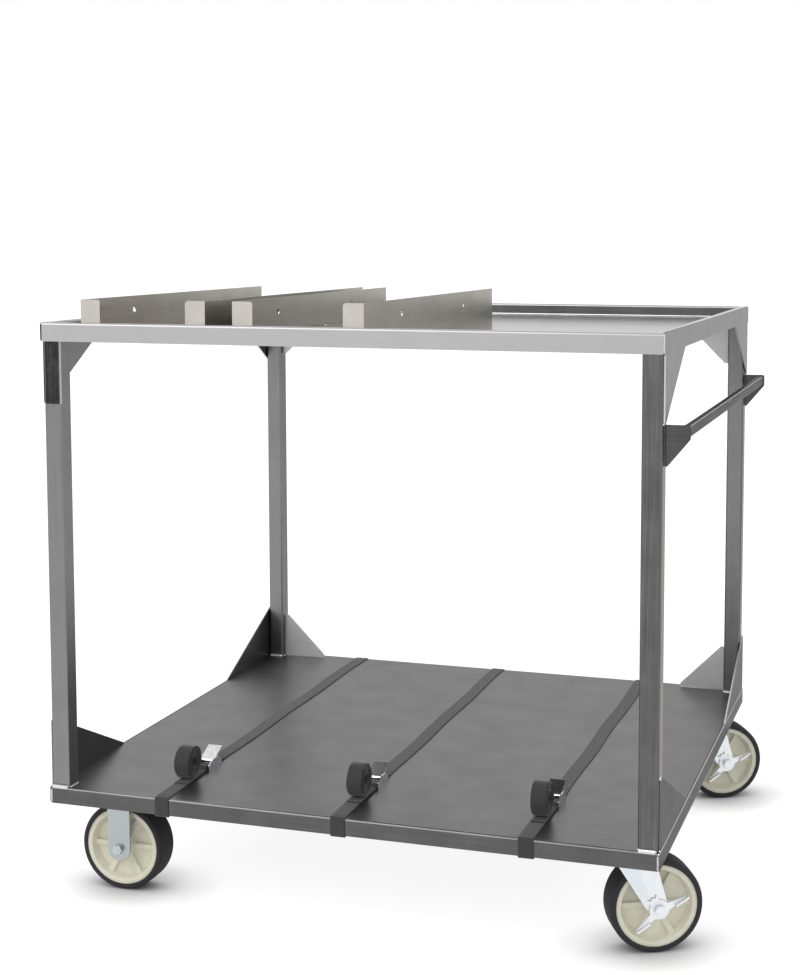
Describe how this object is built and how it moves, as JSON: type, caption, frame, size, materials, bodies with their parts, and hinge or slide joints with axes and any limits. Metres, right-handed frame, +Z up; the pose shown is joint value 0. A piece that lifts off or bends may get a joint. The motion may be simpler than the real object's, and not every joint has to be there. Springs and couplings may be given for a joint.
{
  "type": "tray transport cart",
  "caption": "Steel transport cart with an upper and a lower deck, end push handle, rigid and braked swivel casters, retaining rails on top and cam-buckle tie-down straps.",
  "frame": {"origin": "on the floor, under the centre of the overall bounding box", "axes": "+X to the push-handle end, -Y is the loading side that faces the camera, +Z up"},
  "size_m": [1.0857, 0.9536, 1.021],
  "materials": {
    "frame_steel": "satin brushed stainless",
    "deck_steel": "polished stainless",
    "rail_steel": "satin stainless",
    "zinc_plate": "bright zinc plate",
    "fastener_steel": "zinc plate",
    "hub_plastic": "moulded cream plastic",
    "tyre_rubber": "smooth black rubber",
    "webbing": "woven webbing",
    "buckle_chrome": "chrome plate"
  },
  "bodies": {
    "cart": {"leg_front_left": "frame_steel", "leg_front_right": "frame_steel", "leg_rear_left": "frame_steel", "leg_rear_right": "frame_steel", "top_side_panel_left": "frame_steel", "top_side_panel_right": "frame_steel", "lower_side_panel_left": "frame_steel", "lower_side_panel_right": "frame_steel", "lower_deck": "frame_steel", "handle_bar": "frame_steel", "handle_bracket_front": "frame_steel", "handle_bracket_rear": "frame_steel", "top_deck": "deck_steel", "top_deck_rims": "deck_steel", "rear_gussets": "deck_steel", "deck_stiffeners": "deck_steel", "caster_channel_left": "deck_steel", "caster_channel_right": "deck_steel", "strap_clamps": "deck_steel", "retaining_rail_1": "rail_steel", "retaining_rail_2": "rail_steel", "retaining_rail_3": "rail_steel", "retaining_rail_4": "rail_steel", "rail_rivets": "rail_steel", "rigid_fork_front": "zinc_plate", "rigid_fork_rear": "zinc_plate", "swivel_plate_front": "zinc_plate", "swivel_plate_rear": "zinc_plate", "swivel_races": "zinc_plate", "kingpins": "zinc_plate", "caster_bolts": "fastener_steel", "caster_nuts": "fastener_steel", "rigid_axle_bolts": "fastener_steel", "rigid_axle_sleeves": "fastener_steel", "anchor_webbings": "webbing", "strap_webbing_1": "webbing", "strap_webbing_2": "webbing", "strap_webbing_3": "webbing", "buckle_frames": "buckle_chrome", "buckle_bars": "buckle_chrome", "buckle_pins": "buckle_chrome"},
    "rigid_wheel_front": {"rigid_hub_front": "hub_plastic", "rigid_tyre_front": "tyre_rubber"},
    "swivel_front": {"swivel_fork_front": "zinc_plate", "swivel_axle_front": "fastener_steel", "swivel_sleeve_front": "fastener_steel"},
    "swivel_wheel_front": {"swivel_hub_front": "hub_plastic", "swivel_tyre_front": "tyre_rubber"},
    "brake_front": {"brake_lever_front": "zinc_plate"},
    "rigid_wheel_rear": {"rigid_hub_rear": "hub_plastic", "rigid_tyre_rear": "tyre_rubber"},
    "swivel_rear": {"swivel_fork_rear": "zinc_plate", "swivel_axle_rear": "fastener_steel", "swivel_sleeve_rear": "fastener_steel"},
    "swivel_wheel_rear": {"swivel_hub_rear": "hub_plastic", "swivel_tyre_rear": "tyre_rubber"},
    "brake_rear": {"brake_lever_rear": "zinc_plate"},
    "cam_1": {"cam_lever_1": "buckle_chrome"},
    "cam_2": {"cam_lever_2": "buckle_chrome"},
    "cam_3": {"cam_lever_3": "buckle_chrome"}
  },
  "joints": [
    {"name": "rigid_wheel_front_spin", "type": "hinge", "parent": "cart", "child": "rigid_wheel_front", "pos_m": [-0.446, -0.375, 0.076], "axis": [0, 1, 0], "continuous": true},
    {"name": "swivel_front_turn", "type": "hinge", "parent": "cart", "child": "swivel_front", "pos_m": [0.437, -0.375, 0.17], "axis": [0, 0, 1], "continuous": true},
    {"name": "swivel_wheel_front_spin", "type": "hinge", "parent": "swivel_front", "child": "swivel_wheel_front", "pos_m": [0.47086, -0.35775, 0.076], "axis": [-0.454, 0.891, 0], "continuous": true},
    {"name": "brake_front_pedal", "type": "hinge", "parent": "swivel_front", "child": "brake_front", "pos_m": [0.47086, -0.35775, 0.076], "axis": [0.454, -0.891, 0], "range_deg": [-28, 0]},
    {"name": "rigid_wheel_rear_spin", "type": "hinge", "parent": "cart", "child": "rigid_wheel_rear", "pos_m": [-0.446, 0.375, 0.076], "axis": [0, 1, 0], "continuous": true},
    {"name": "swivel_rear_turn", "type": "hinge", "parent": "cart", "child": "swivel_rear", "pos_m": [0.437, 0.375, 0.17], "axis": [0, 0, 1], "continuous": true},
    {"name": "swivel_wheel_rear_spin", "type": "hinge", "parent": "swivel_rear", "child": "swivel_wheel_rear", "pos_m": [0.47086, 0.39225, 0.076], "axis": [-0.454, 0.891, 0], "continuous": true},
    {"name": "brake_rear_pedal", "type": "hinge", "parent": "swivel_rear", "child": "brake_rear", "pos_m": [0.47086, 0.39225, 0.076], "axis": [0.454, -0.891, 0], "range_deg": [-28, 0]},
    {"name": "cam_1_release", "type": "hinge", "parent": "cart", "child": "cam_1", "pos_m": [-0.33, -0.296, 0.209], "axis": [-1, 0, 0], "range_deg": [0, 24], "stiffness_Nm_per_rad": 0.1, "springref_deg": -28.65},
    {"name": "cam_2_release", "type": "hinge", "parent": "cart", "child": "cam_2", "pos_m": [-0.018, -0.296, 0.209], "axis": [-1, 0, 0], "range_deg": [0, 24], "stiffness_Nm_per_rad": 0.1, "springref_deg": -28.65},
    {"name": "cam_3_release", "type": "hinge", "parent": "cart", "child": "cam_3", "pos_m": [0.294, -0.296, 0.209], "axis": [-1, 0, 0], "range_deg": [0, 24], "stiffness_Nm_per_rad": 0.1, "springref_deg": -28.65}
  ]
}
